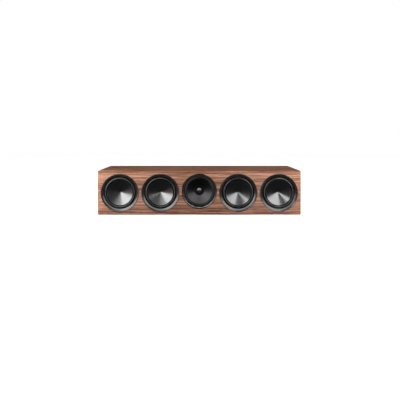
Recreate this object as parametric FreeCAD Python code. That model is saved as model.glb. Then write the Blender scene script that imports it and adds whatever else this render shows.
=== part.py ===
import FreeCAD
import Part
import math
import os
from FreeCAD import Vector

# Center channel loudspeaker: four bass drivers in a row, with a coaxial midrange and tweeter in the middle.
# Millimetres. +Z is up, +X is to the right as seen from the front, and the drivers face -Y.
# The origin is on the standing surface, under the middle of the bounding box.

# Cabinet of veneered fibre board, mitred where the front meets the other panels
CABINET_WIDTH = 1015.0
CABINET_HEIGHT = 220.0
CABINET_DEPTH = 340.0
PANEL_THICKNESS = 18.0
BAFFLE_THICKNESS = 25.0
EDGE_ROUND = 0.6
REAR_PANEL_ROUND = 1.5
PARTITION_THICKNESS = 15.0
MID_CHAMBER_DEPTH = 130.0
BRACE_FRAME = 32.0
BRACE_CORNER = 14.0
FELT_THICKNESS = 15.0
FELT_MARGIN = 8.0
GLUE_GAP = 0.1
CUT_REACH = 1.0

# Row of drivers: bare baffle beside, above and between the trim rings
ROW_END_MARGIN = 14.5
ROW_TOP_MARGIN = 15.0
LEAST_DRIVER_GAP = 13.0
SCREWS_PER_DRIVER = 6
SCREW_HEAD_RADIUS = 2.6
SCREW_RADIUS = 1.5
SCREW_LENGTH = 15.0
SCREW_CLEARANCE = 0.1

# Trim rings: a lip on the baffle and a bevel inside it, which on the midrange ends at a step
RING_PROUD = 3.0
RING_SEAT = 6.0
RING_OVERLAP = 3.0
RING_ROUND = 1.0
RING_EDGE = 0.8
RING_BEVEL_ANGLE = 29.5
WOOFER_RING_LIP = 2.5
WOOFER_RING_WIDTH = 17.0
MID_RING_LIP = 1.5
MID_RING_BEVEL = 5.0
MID_RING_WIDTH = 13.0
MID_RING_STEP = 8.0

# Diaphragms and their rubber surrounds
CONE_THICKNESS = 0.8
SURROUND_THICKNESS = 1.0
GLUE_LIP = 2.5
GLUE_RIM = 3.0
WOOFER_NECK_DEPTH = 18.9
WOOFER_TIP_RADIUS = 9.0
WOOFER_ROLL_RADIUS = 6.0
MID_NECK_DEPTH = 24.0
MID_CONE_FLARE = 0.6
MID_ROLL_RADIUS = 3.75

# Die-cast baskets
FLANGE_THICKNESS = 5.0
POCKET_CLEARANCE = 0.5
BASKET_WALL = 3.0
BASKET_REAR_RADIUS = 57.0
BASKET_SEAT_RADIUS = 40.0
BASKET_REAR_THICKNESS = 5.0
BASKET_WINDOWS = 6
BASKET_WINDOW_ANGLE = 42.0
BASKET_WINDOW_MARGIN = 5.0

# Voice coils and spiders
FORMER_THICKNESS = 0.4
WINDING_THICKNESS = 0.9
COIL_CLEARANCE = 0.6
WOOFER_COIL_RADIUS = 19.0
WOOFER_COIL_LENGTH = 14.0
MID_COIL_RADIUS = 25.0
MID_COIL_LENGTH = 10.0
SPIDER_THICKNESS = 0.7
SPIDER_WAVE_PITCH = 4.0
SPIDER_WAVE_HEIGHT = 1.2
SPIDER_SETBACK = 14.0
SPIDER_TO_PLATE = 11.0
SPIDER_RIM = 5.0

# Motors: a steel plate, a ferrite ring and a yoke with its pole
PLATE_RADIUS = 50.0
PLATE_THICKNESS = 6.0
MAGNET_RADIUS = 54.0
MAGNET_BORE_MARGIN = 7.0
MAGNET_THICKNESS = 18.0
YOKE_BACK_THICKNESS = 6.0
POLE_BORE_RADIUS = 5.0

# Tweeter in the throat of the midrange
DOME_RADIUS = 12.5
DOME_HEIGHT = 4.8
DOME_THICKNESS = 0.5
DOME_ROLL_RADIUS = 2.0
DOME_RIM = 2.0
TWEETER_SETBACK = 7.0
COLLAR_CLEARANCE = 0.8
COLLAR_EDGE = 0.6
COLLAR_FLARE = 0.5
COLLAR_WALL = 4.0
TWEETER_CUP_CLEARANCE = 0.2
TWEETER_GAP = 0.5
TWEETER_COIL_THICKNESS = 0.5
TWEETER_COIL_LENGTH = 6.0
TWEETER_PLATE_THICKNESS = 3.0
TWEETER_MAGNET_MARGIN = 1.0
TWEETER_CUP_BASE = 4.0

# Reflex ports in the rear panel, one behind each outer woofer
PORT_RADIUS = 30.0
PORT_WALL = 3.0
PORT_LENGTH = 140.0
PORT_MOUTH_FLARE = 12.0
PORT_INNER_FLARE = 8.0
PORT_COLLAR_WALL = 11.0
PORT_FLANGE_WIDTH = 7.0
PORT_FLANGE_THICKNESS = 4.0
INSET_CLEARANCE = 0.3

# Cable terminals: a pair of binding posts on a plate
TERMINAL_PLATE_WIDTH = 90.0
TERMINAL_PLATE_HEIGHT = 64.0
TERMINAL_PLATE_THICKNESS = 4.0
TERMINAL_PLATE_CORNER = 7.0
TERMINAL_LEDGE = 12.0
POST_SPACING = 19.0
POST_RADIUS = 4.0
POST_REACH = 26.0
POST_TAIL = 12.0
POST_FLANGE_RADIUS = 7.0
POST_FLANGE_THICKNESS = 3.0
POST_FIT = 0.08
PLUG_BORE_RADIUS = 2.05
PLUG_BORE_DEPTH = 19.0
WASHER_THICKNESS = 1.5
NUT_RADIUS = 8.4
NUT_LENGTH = 14.5
NUT_GRIPS = 16
NUT_GRIP_RADIUS = 0.9
NUT_CHAMFER = 1.0
SEAT_GAP = 0.05

# Crossover network on the cabinet floor, behind the midrange chamber
BOARD_LENGTH = 150.0
BOARD_WIDTH = 96.0
BOARD_THICKNESS = 1.6
BOARD_MARGIN = 6.0
SPACER_HEIGHT = 8.0
SPACER_RADIUS = 4.0
INDUCTOR_COUNT = 3
INDUCTOR_RADIUS = 20.0
INDUCTOR_BORE_RADIUS = 9.0
INDUCTOR_HEIGHT = 22.0
CAPACITOR_COUNT = 4
CAPACITOR_RADIUS = 10.0
CAPACITOR_LENGTH = 34.0

# Places that follow from the sizes above
BAFFLE_Y = RING_PROUD - (RING_PROUD + CABINET_DEPTH + POST_REACH) / 2
BAFFLE_BACK_Y = BAFFLE_Y + BAFFLE_THICKNESS
REAR_Y = BAFFLE_Y + CABINET_DEPTH
REAR_INNER_Y = REAR_Y - PANEL_THICKNESS
SIDE_X = CABINET_WIDTH / 2
SIDE_INNER_X = SIDE_X - PANEL_THICKNESS
FLOOR_Z = PANEL_THICKNESS
CEILING_Z = CABINET_HEIGHT - PANEL_THICKNESS
MID_CHAMBER_BACK_Y = BAFFLE_BACK_Y + MID_CHAMBER_DEPTH

# The drivers are as large as the baffle's width and height both allow, and share out the width that is left
ROW_LENGTH = CABINET_WIDTH - 2 * ROW_END_MARGIN
RADIUS_BY_WIDTH = (ROW_LENGTH - 4 * LEAST_DRIVER_GAP + 2 * MID_RING_STEP) / 10
RADIUS_BY_HEIGHT = CABINET_HEIGHT / 2 - ROW_TOP_MARGIN
WOOFER_RING_RADIUS = min(RADIUS_BY_WIDTH, RADIUS_BY_HEIGHT)
MID_RING_RADIUS = WOOFER_RING_RADIUS - MID_RING_STEP
DRIVER_GAP = (ROW_LENGTH - 8 * WOOFER_RING_RADIUS - 2 * MID_RING_RADIUS) / 4
WOOFER_Z = CABINET_HEIGHT / 2
MID_Z = WOOFER_Z + MID_RING_STEP
INNER_WOOFER_X = MID_RING_RADIUS + DRIVER_GAP + WOOFER_RING_RADIUS
OUTER_WOOFER_X = INNER_WOOFER_X + 2 * WOOFER_RING_RADIUS + DRIVER_GAP
PARTITION_X = MID_RING_RADIUS + DRIVER_GAP / 2
BRACE_X = (INNER_WOOFER_X + OUTER_WOOFER_X) / 2
WOOFER_XS = (-OUTER_WOOFER_X, -INNER_WOOFER_X, INNER_WOOFER_X, OUTER_WOOFER_X)

AXIS = Vector(0, 1, 0)
ORIGIN = Vector(0, 0, 0)
# Share of a quarter-round's radius by which its middle lies off the corner, along each axis
QUARTER_ROUND = 1 - math.sqrt(0.5)


class DriverSizes:
    """Radii and depths of one size of driver. Depths count from the baffle's front face into the cabinet."""

    def __init__(
        self,
        ring_radius,
        ring_lip,
        ring_bevel,
        ring_width,
        roll_radius,
        neck_depth,
        coil_radius,
        coil_length,
    ):
        self.ring_radius = ring_radius
        self.bevel_start = ring_radius - ring_lip
        self.bevel_end = self.bevel_start - ring_bevel
        self.roll_radius = roll_radius
        # Radial chain, from the trim ring's inner edge in to the diaphragm and out to the baffle's pocket
        self.roll_foot = ring_radius - ring_width
        self.roll_centre = self.roll_foot - roll_radius - SURROUND_THICKNESS / 2
        self.lip_radius = self.roll_centre - roll_radius
        self.cone_radius = self.lip_radius - GLUE_LIP
        self.rim_radius = self.roll_foot + GLUE_RIM
        self.pocket_radius = ring_radius - RING_OVERLAP
        self.flange_radius = self.pocket_radius - POCKET_CLEARANCE
        self.screw_circle = (self.rim_radius + self.flange_radius) / 2
        self.hole_radius = self.roll_foot - GLUE_RIM / 2
        self.wall_radius = self.hole_radius - POCKET_CLEARANCE
        # Voice coil, turned outwards from its former
        self.former_inner = coil_radius
        self.former_outer = coil_radius + FORMER_THICKNESS
        self.winding_outer = self.former_outer + WINDING_THICKNESS
        self.plate_bore = self.winding_outer + COIL_CLEARANCE
        self.pole_radius = coil_radius - COIL_CLEARANCE
        # Depth chain, from the ring's seat back to the yoke
        self.lip_depth = RING_SEAT + SURROUND_THICKNESS
        self.neck_depth = self.lip_depth + neck_depth
        self.spider_depth = self.neck_depth + CONE_THICKNESS + SPIDER_SETBACK
        self.ledge_depth = self.spider_depth + SPIDER_THICKNESS / 2
        self.plate_depth = self.spider_depth + SPIDER_TO_PLATE
        self.magnet_depth = self.plate_depth + PLATE_THICKNESS
        self.yoke_depth = self.magnet_depth + MAGNET_THICKNESS
        self.back_depth = self.yoke_depth + YOKE_BACK_THICKNESS
        coil_middle = self.plate_depth + PLATE_THICKNESS / 2
        self.coil_front = coil_middle - coil_length / 2
        self.coil_back = coil_middle + coil_length / 2


WOOFER = DriverSizes(
    WOOFER_RING_RADIUS,
    WOOFER_RING_LIP,
    WOOFER_RING_WIDTH - WOOFER_RING_LIP,
    WOOFER_RING_WIDTH,
    WOOFER_ROLL_RADIUS,
    WOOFER_NECK_DEPTH,
    WOOFER_COIL_RADIUS,
    WOOFER_COIL_LENGTH,
)
MID = DriverSizes(
    MID_RING_RADIUS,
    MID_RING_LIP,
    MID_RING_BEVEL,
    MID_RING_WIDTH,
    MID_ROLL_RADIUS,
    MID_NECK_DEPTH,
    MID_COIL_RADIUS,
    MID_COIL_LENGTH,
)
WOOFER_SLOPE = math.atan2(WOOFER_NECK_DEPTH, WOOFER.cone_radius - WOOFER.former_inner)


# Shapes that several pieces share


def outline(start, *steps):
    """Closed wire in the XY plane. A step is the next corner, or (through, end) for an arc."""
    edges = []
    here = Vector(*start, 0)
    for step in steps:
        if isinstance(step[0], tuple):
            through, there = (Vector(*point, 0) for point in step)
            edges.append(Part.Arc(here, through, there).toShape())
        else:
            there = Vector(*step, 0)
            edges.append(Part.LineSegment(here, there).toShape())
        here = there
    if here != Vector(*start, 0):
        edges.append(Part.LineSegment(here, Vector(*start, 0)).toShape())
    return Part.Wire(edges)


def turned(start, *steps, angle=360):
    """Solid of revolution about the Y axis. A corner is (radius, depth)."""
    return Part.Face(outline(start, *steps)).revolve(ORIGIN, AXIS, angle)


def tube(outer, inner, front, back):
    """Round tube along Y, from depth front to depth back."""
    return turned((inner, front), (outer, front), (outer, back), (inner, back))


def rod(radius, front, back, x=0.0, z=0.0):
    """Round rod along Y."""
    return Part.makeCylinder(radius, back - front, Vector(x, front, z), AXIS)


def block(x_span, y_span, z_span):
    """Box between pairs of coordinates."""
    size = [span[1] - span[0] for span in (x_span, y_span, z_span)]
    return Part.makeBox(*size, Vector(x_span[0], y_span[0], z_span[0]))


def rounded_along(shape, direction, radius):
    """Rounds the edges that run along one axis."""
    chosen = []
    for edge in shape.Edges:
        run = edge.Vertexes[-1].Point - edge.Vertexes[0].Point
        if abs(run.normalize().dot(direction)) > 0.99:
            chosen.append(edge)
    return shape.makeFillet(radius, chosen)


def solid_between(outer, inner):
    """Flat-faced solid between two four-cornered outlines, corner to corner."""
    faces = [Part.Face(Part.makePolygon(corners + corners[:1])) for corners in (outer, inner)]
    for i in range(4):
        j = (i + 1) % 4
        side = [outer[i], outer[j], inner[j], inner[i], outer[i]]
        faces.append(Part.Face(Part.makePolygon(side)))
    solid = Part.makeSolid(Part.makeShell(faces))
    if solid.Volume < 0:
        solid.reverse()
    return solid


def at_driver(shape, x, z):
    """A copy of a driver's piece, moved from its own axis to its place in the baffle."""
    return shape.translated(Vector(x, BAFFLE_Y, z))


def round_the_axis(count, radius):
    """(x, z) places evenly spaced on a circle about the Y axis."""
    for i in range(count):
        angle = 2 * math.pi * (i + 0.5) / count
        yield radius * math.cos(angle), radius * math.sin(angle)


# Cabinet


def mitred_panel(axis, sign, inset_axes):
    """One outer panel, mitred on each axis in inset_axes: made oversize, then cut to the cabinet's form."""
    rear = REAR_Y + CUT_REACH
    outer_span = {"x": (-SIDE_X, SIDE_X), "y": (BAFFLE_Y, rear), "z": (0, CABINET_HEIGHT)}
    inner_span = {"x": (-SIDE_INNER_X, SIDE_INNER_X), "y": (BAFFLE_BACK_Y, rear), "z": (FLOOR_Z, CEILING_Z)}
    first, second = inset_axes
    end = 0 if sign < 0 else 1
    loops = []
    for span in (outer_span, inner_span):
        corners = []
        for i, j in ((0, 0), (1, 0), (1, 1), (0, 1)):
            place = {axis: span[axis][end], first: span[first][i], second: span[second][j]}
            corners.append(Vector(place["x"], place["y"], place["z"]))
        loops.append(corners)
    outer, inner = loops
    oversize = [far + (far - near) * (CUT_REACH / PANEL_THICKNESS) for far, near in zip(outer, inner)]
    return solid_between(oversize, inner).common(rounded_cabinet())


def rounded_cabinet():
    """The cabinet's outer form, with its edges eased."""
    form = block((-SIDE_X, SIDE_X), (BAFFLE_Y, REAR_Y), (0, CABINET_HEIGHT))
    return form.makeFillet(EDGE_ROUND, form.Edges)


def front_baffle():
    """Front panel with a stepped hole for each driver, and pilot holes for its screws."""
    panel = mitred_panel("y", -1, ("x", "z"))
    for sizes, x, z in driver_places():
        pocket = RING_SEAT + FLANGE_THICKNESS
        cuts = [
            rod(sizes.pocket_radius, -RING_PROUD, pocket),
            rod(sizes.hole_radius, 0, BAFFLE_THICKNESS + RING_PROUD),
        ]
        for screw_x, screw_z in round_the_axis(SCREWS_PER_DRIVER, sizes.screw_circle):
            end = RING_SEAT + SCREW_LENGTH + SCREW_CLEARANCE
            cuts.append(rod(SCREW_RADIUS + SCREW_CLEARANCE, 0, end, screw_x, screw_z))
        panel = panel.cut([at_driver(cut, x, z) for cut in cuts])
    return panel


def driver_places():
    """(sizes, x, z) of each driver in the row."""
    for x in WOOFER_XS:
        yield WOOFER, x, WOOFER_Z
    yield MID, 0.0, MID_Z


def rear_panel():
    """Inset rear panel with its outer edges eased, cut for the ports and the terminal plate."""
    panel = block((-SIDE_INNER_X, SIDE_INNER_X), (REAR_INNER_Y, REAR_Y), (FLOOR_Z, CEILING_Z))
    outer_face = max(panel.Faces, key=lambda face: face.CenterOfMass.y)
    panel = panel.makeFillet(REAR_PANEL_ROUND, outer_face.Edges)
    cuts = []
    for x in (-OUTER_WOOFER_X, OUTER_WOOFER_X):
        flange = port_flange_radius() + INSET_CLEARANCE
        collar = PORT_RADIUS + PORT_COLLAR_WALL + INSET_CLEARANCE
        cuts.append(rod(flange, REAR_Y - PORT_FLANGE_THICKNESS, REAR_Y + CUT_REACH, x, WOOFER_Z))
        cuts.append(rod(collar, REAR_INNER_Y - CUT_REACH, REAR_Y, x, WOOFER_Z))
    cuts.append(terminal_form(INSET_CLEARANCE, REAR_Y - TERMINAL_PLATE_THICKNESS, REAR_Y + CUT_REACH))
    cuts.append(terminal_form(-TERMINAL_LEDGE, REAR_INNER_Y - CUT_REACH, REAR_Y))
    for x, z in terminal_screw_places():
        start = REAR_Y - SCREW_LENGTH - SCREW_CLEARANCE
        cuts.append(rod(SCREW_RADIUS + SCREW_CLEARANCE, start, REAR_Y, x, z))
    return panel.cut(cuts)


def partition(sign):
    """Side wall of the midrange's own chamber, from the baffle to the rear panel."""
    middle = sign * PARTITION_X
    half = PARTITION_THICKNESS / 2
    return block((middle - half, middle + half), (BAFFLE_BACK_Y, REAR_INNER_Y), (FLOOR_Z, CEILING_Z))


def mid_chamber_back():
    """Wall that closes the midrange's chamber behind its motor."""
    reach = PARTITION_X - PARTITION_THICKNESS / 2
    depth = (MID_CHAMBER_BACK_Y, MID_CHAMBER_BACK_Y + PARTITION_THICKNESS)
    return block((-reach, reach), depth, (FLOOR_Z, CEILING_Z))


def brace(sign):
    """Frame between the two woofers of one bass chamber, with two windows for the air."""
    middle = sign * BRACE_X
    half = PARTITION_THICKNESS / 2
    frame = block((middle - half, middle + half), (BAFFLE_BACK_Y, REAR_INNER_Y), (FLOOR_Z, CEILING_Z))
    window_length = (REAR_INNER_Y - BAFFLE_BACK_Y - 3 * BRACE_FRAME) / 2
    for i in range(2):
        start = BAFFLE_BACK_Y + BRACE_FRAME + i * (window_length + BRACE_FRAME)
        window = block(
            (middle - 2 * half, middle + 2 * half),
            (start, start + window_length),
            (FLOOR_Z + BRACE_FRAME, CEILING_Z - BRACE_FRAME),
        )
        frame = frame.cut(rounded_along(window, Vector(1, 0, 0), BRACE_CORNER))
    return frame


def damping_felt():
    """Felt sheets on the floor and ceiling of each bass chamber, between the walls and the brace."""
    half = PARTITION_THICKNESS / 2
    bays = (
        (PARTITION_X + half + FELT_MARGIN, BRACE_X - half - FELT_MARGIN),
        (BRACE_X + half + FELT_MARGIN, SIDE_INNER_X - FELT_MARGIN),
    )
    heights = (
        (FLOOR_Z + GLUE_GAP, FLOOR_Z + GLUE_GAP + FELT_THICKNESS),
        (CEILING_Z - GLUE_GAP - FELT_THICKNESS, CEILING_Z - GLUE_GAP),
    )
    length = (BAFFLE_BACK_Y + FELT_MARGIN, REAR_INNER_Y - FELT_MARGIN)
    sheets = []
    for near, far in bays:
        for height in heights:
            sheets.append(block((near, far), length, height))
            sheets.append(block((-far, -near), length, height))
    return sheets


# Drivers


def trim_ring(d):
    """Cast ring: a rounded lip on the baffle and a bevel that falls towards the surround."""
    bend = RING_ROUND * QUARTER_ROUND
    bevel_depth = -RING_PROUD + (d.bevel_start - d.bevel_end) * math.tan(math.radians(RING_BEVEL_ANGLE))
    step = []
    if d.bevel_end - d.roll_foot > RING_EDGE:
        step = [(d.roll_foot, RING_SEAT - RING_EDGE), (d.bevel_end, RING_SEAT - RING_EDGE)]
    return turned(
        (d.roll_foot, RING_SEAT),
        *step,
        (d.bevel_end, bevel_depth),
        (d.bevel_start, -RING_PROUD),
        (d.ring_radius - RING_ROUND, -RING_PROUD),
        ((d.ring_radius - bend, -RING_PROUD + bend), (d.ring_radius, -RING_PROUD + RING_ROUND)),
        (d.ring_radius, 0),
        (d.flange_radius, 0),
        (d.flange_radius, RING_SEAT),
    )


def basket(d):
    """Cast frame: screw flange, sloping spokes, ledge for the spider and a seat for the motor."""
    flange_back = RING_SEAT + FLANGE_THICKNESS
    seat_front = d.plate_depth - BASKET_REAR_THICKNESS
    spider_inner = BASKET_REAR_RADIUS - BASKET_WALL - SPIDER_RIM
    frame = turned(
        (d.wall_radius - BASKET_WALL, d.lip_depth),
        (d.rim_radius + GLUE_GAP, d.lip_depth),
        (d.rim_radius + GLUE_GAP, RING_SEAT),
        (d.flange_radius, RING_SEAT),
        (d.flange_radius, flange_back),
        (d.wall_radius, flange_back),
        (BASKET_REAR_RADIUS, d.ledge_depth),
        (BASKET_REAR_RADIUS, d.plate_depth),
        (BASKET_SEAT_RADIUS, d.plate_depth),
        (BASKET_SEAT_RADIUS, seat_front),
        (spider_inner, seat_front),
        (spider_inner, d.ledge_depth),
        (BASKET_REAR_RADIUS - BASKET_WALL, d.ledge_depth),
    )
    window_front = flange_back + BASKET_WINDOW_MARGIN
    window_back = d.ledge_depth - BASKET_WINDOW_MARGIN
    window = turned(
        (BASKET_SEAT_RADIUS, window_front),
        (d.pocket_radius, window_front),
        (d.pocket_radius, window_back),
        (BASKET_SEAT_RADIUS, window_back),
        angle=BASKET_WINDOW_ANGLE,
    )
    cuts = []
    for i in range(BASKET_WINDOWS):
        cuts.append(window.rotated(ORIGIN, AXIS, i * 360 / BASKET_WINDOWS))
    for x, z in round_the_axis(SCREWS_PER_DRIVER, d.screw_circle):
        cuts.append(countersunk_hole(RING_SEAT, flange_back, x, z))
    return frame.cut(cuts)


def countersunk_screw(head_depth, length, x, z, gap=0.0):
    """Screw with a flat head, its head at head_depth and its tip further along +Y."""
    taper = SCREW_HEAD_RADIUS - SCREW_RADIUS
    return turned(
        (0, head_depth),
        (SCREW_HEAD_RADIUS + gap, head_depth),
        (SCREW_RADIUS + gap, head_depth + taper),
        (SCREW_RADIUS + gap, head_depth + length - taper),
        (0, head_depth + length),
    ).translated(Vector(x, 0, z))


def countersunk_hole(front, back, x, z):
    """Hole in a flange that clears a countersunk screw."""
    return countersunk_screw(front, 2 * (back - front), x, z, gap=SCREW_CLEARANCE)


def surround(d):
    """Half-roll of rubber between the diaphragm's lip and the basket's flange."""
    t = SURROUND_THICKNESS
    outer = d.roll_radius + t / 2
    inner = d.roll_radius - t / 2
    foot = math.sqrt(outer**2 - t**2)
    back = d.lip_depth
    return turned(
        (d.cone_radius, RING_SEAT),
        (d.roll_centre - foot, RING_SEAT),
        ((d.roll_centre, back - outer), (d.roll_centre + foot, RING_SEAT)),
        (d.rim_radius, RING_SEAT),
        (d.rim_radius, back),
        (d.roll_centre + inner, back),
        ((d.roll_centre, back - inner), (d.roll_centre - inner, back)),
        (d.cone_radius, back),
    )


def woofer_cone():
    """Spun aluminium cone, straight to a small round tip, with a flat lip for the surround."""
    d = WOOFER
    tip_edge = WOOFER_TIP_RADIUS * math.sin(WOOFER_SLOPE)
    tip_edge_depth = d.lip_depth + (d.cone_radius - tip_edge) * math.tan(WOOFER_SLOPE)
    tip_centre = tip_edge_depth - WOOFER_TIP_RADIUS * math.cos(WOOFER_SLOPE)

    def on_tip(share, offset):
        angle = WOOFER_SLOPE * share
        return (
            WOOFER_TIP_RADIUS * math.sin(angle),
            tip_centre + WOOFER_TIP_RADIUS * math.cos(angle) + offset,
        )

    t = CONE_THICKNESS
    return turned(
        (d.lip_radius, d.lip_depth),
        (d.cone_radius, d.lip_depth),
        on_tip(1, 0),
        (on_tip(0.5, 0), on_tip(0, 0)),
        on_tip(0, t),
        (on_tip(0.5, t), on_tip(1, t)),
        (d.cone_radius, d.lip_depth + t),
        (d.lip_radius, d.lip_depth + t),
    )


def mid_cone():
    """Slightly curved midrange cone, open at its neck, where the tweeter sits."""
    d = MID
    t = CONE_THICKNESS
    neck = d.former_outer + GLUE_GAP
    middle = (d.cone_radius + neck) / 2
    middle_depth = (d.lip_depth + d.neck_depth) / 2 - MID_CONE_FLARE
    return turned(
        (d.lip_radius, d.lip_depth),
        (d.cone_radius, d.lip_depth),
        ((middle, middle_depth), (neck, d.neck_depth)),
        (neck, d.neck_depth + t),
        ((middle, middle_depth + t), (d.cone_radius, d.lip_depth + t)),
        (d.lip_radius, d.lip_depth + t),
    )


def voice_coil(d, front_inner, front_outer):
    """Coil former with its winding. The front edge is cut to meet the cone."""
    return turned(
        (d.former_inner, front_inner),
        (d.former_outer, front_outer),
        (d.former_outer, d.coil_front),
        (d.winding_outer, d.coil_front),
        (d.winding_outer, d.coil_back),
        (d.former_inner, d.coil_back),
    )


def woofer_voice_coil():
    """Voice coil glued to the back of the straight cone."""
    d = WOOFER

    def cone_back(radius):
        return d.lip_depth + (d.cone_radius - radius) * math.tan(WOOFER_SLOPE) + CONE_THICKNESS + GLUE_GAP

    return voice_coil(d, cone_back(d.former_inner), cone_back(d.former_outer))


def spider(d):
    """Corrugated centring disc from the coil former to the ledge in the basket."""
    front = d.spider_depth - SPIDER_THICKNESS / 2
    back = d.spider_depth + SPIDER_THICKNESS / 2
    rim = BASKET_REAR_RADIUS - BASKET_WALL - GLUE_GAP
    hub = d.former_outer + GLUE_GAP
    whole_waves = int((rim - SPIDER_RIM - hub) / (2 * SPIDER_WAVE_PITCH))
    feet = [rim - SPIDER_RIM - i * SPIDER_WAVE_PITCH for i in range(2 * whole_waves + 1)]

    def waves(radii, depth, side):
        steps = []
        for near, far in zip(radii, radii[1:]):
            steps.append((((near + far) / 2, depth + side * SPIDER_WAVE_HEIGHT), (far, depth)))
            side = -side
        return steps

    return turned(
        (rim, front),
        (feet[0], front),
        *waves(feet, front, -1),
        (hub, front),
        (hub, back),
        (feet[-1], back),
        *waves(feet[::-1], back, 1),
        (rim, back),
    )


def top_plate(d):
    """Steel ring in front of the magnet, round the coil's gap."""
    return tube(PLATE_RADIUS, d.plate_bore, d.plate_depth, d.magnet_depth)


def magnet(d):
    """Ferrite ring."""
    return tube(MAGNET_RADIUS, d.plate_bore + MAGNET_BORE_MARGIN, d.magnet_depth, d.yoke_depth)


def yoke(d):
    """Back plate and pole, forged in one piece, with a vent through the pole."""
    return turned(
        (POLE_BORE_RADIUS, d.plate_depth),
        (d.pole_radius, d.plate_depth),
        (d.pole_radius, d.yoke_depth),
        (PLATE_RADIUS, d.yoke_depth),
        (PLATE_RADIUS, d.back_depth),
        (POLE_BORE_RADIUS, d.back_depth),
    )


def driver_screws():
    """Countersunk screws through the basket flanges into the baffle, hidden by the trim rings."""
    screws = []
    for sizes, x, z in driver_places():
        for screw_x, screw_z in round_the_axis(SCREWS_PER_DRIVER, sizes.screw_circle):
            screw = countersunk_screw(RING_SEAT, SCREW_LENGTH, screw_x, screw_z)
            screws.append(at_driver(screw, x, z))
    return screws


# Tweeter


class TweeterSizes:
    """Depths and radii of the tweeter, which stands on the midrange's pole."""

    rim_depth = MID.neck_depth + TWEETER_SETBACK
    cup_front = rim_depth + DOME_THICKNESS
    cup_back = MID.plate_depth
    dome_foot = DOME_RADIUS + 2 * DOME_ROLL_RADIUS
    rim_radius = dome_foot + DOME_RIM
    collar_radius = MID_COIL_RADIUS - COLLAR_CLEARANCE
    cup_radius = collar_radius - COLLAR_WALL
    coil_inner = DOME_RADIUS - TWEETER_COIL_THICKNESS
    coil_outer = DOME_RADIUS
    pole_radius = coil_inner - TWEETER_GAP
    gap_radius = coil_outer + TWEETER_GAP
    cavity_radius = gap_radius + TWEETER_MAGNET_MARGIN
    plate_back = cup_front + TWEETER_PLATE_THICKNESS
    base_front = cup_back - TWEETER_CUP_BASE


def tweeter_collar():
    """Short horn round the dome. Its skirt encloses the motor and stands on the pole."""
    s = TweeterSizes
    mouth = s.collar_radius - COLLAR_EDGE
    throat = s.dome_foot
    flare_middle = (
        (throat + mouth) / 2 - COLLAR_FLARE,
        (s.rim_depth + MID.neck_depth) / 2 - COLLAR_FLARE,
    )
    return turned(
        (mouth, MID.neck_depth),
        (s.collar_radius, MID.neck_depth),
        (s.collar_radius, s.cup_back),
        (s.cup_radius + TWEETER_CUP_CLEARANCE, s.cup_back),
        (s.cup_radius + TWEETER_CUP_CLEARANCE, s.rim_depth),
        (throat, s.rim_depth),
        (flare_middle, (mouth, MID.neck_depth)),
    )


def tweeter_dome():
    """Dome, roll and rim formed from one sheet."""
    s = TweeterSizes
    t = DOME_THICKNESS
    sphere = (DOME_RADIUS**2 + DOME_HEIGHT**2) / (2 * DOME_HEIGHT)
    half_angle = math.asin(DOME_RADIUS / sphere) / 2
    mid_radius = sphere * math.sin(half_angle)
    mid_rise = DOME_HEIGHT - sphere * (1 - math.cos(half_angle))
    roll_centre = DOME_RADIUS + DOME_ROLL_RADIUS
    front = s.rim_depth
    back = s.cup_front
    roll_outer = DOME_ROLL_RADIUS
    roll_inner = DOME_ROLL_RADIUS - t
    return turned(
        (0, front - DOME_HEIGHT),
        ((mid_radius, front - mid_rise), (DOME_RADIUS, front)),
        ((roll_centre, front - roll_outer), (s.dome_foot, front)),
        (s.rim_radius, front),
        (s.rim_radius, back),
        (roll_centre + roll_inner, back),
        ((roll_centre, back - roll_inner), (roll_centre - roll_inner, back)),
        (DOME_RADIUS, back),
        ((mid_radius, back - mid_rise), (0, back - DOME_HEIGHT)),
    )


def tweeter_voice_coil():
    """Coil glued under the edge of the dome."""
    s = TweeterSizes
    front = s.cup_front + GLUE_GAP
    return tube(s.coil_outer, s.coil_inner, front, front + TWEETER_COIL_LENGTH)


def tweeter_pole_plate():
    """Steel disc on the tweeter's magnet, inside the coil."""
    s = TweeterSizes
    return rod(s.pole_radius, s.cup_front, s.plate_back)


def tweeter_magnet():
    """Small strong magnet disc."""
    s = TweeterSizes
    return rod(s.pole_radius - TWEETER_MAGNET_MARGIN, s.plate_back, s.base_front)


def tweeter_cup():
    """Steel pot that closes the tweeter's magnetic path."""
    s = TweeterSizes
    return turned(
        (s.gap_radius, s.cup_front),
        (s.cup_radius, s.cup_front),
        (s.cup_radius, s.cup_back),
        (0, s.cup_back),
        (0, s.base_front),
        (s.cavity_radius, s.base_front),
        (s.cavity_radius, s.plate_back),
        (s.gap_radius, s.plate_back),
    )


# Ports and terminals


def port_flange_radius():
    """Outer radius of a port's flange on the rear panel."""
    return PORT_RADIUS + PORT_COLLAR_WALL + PORT_FLANGE_WIDTH


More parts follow.
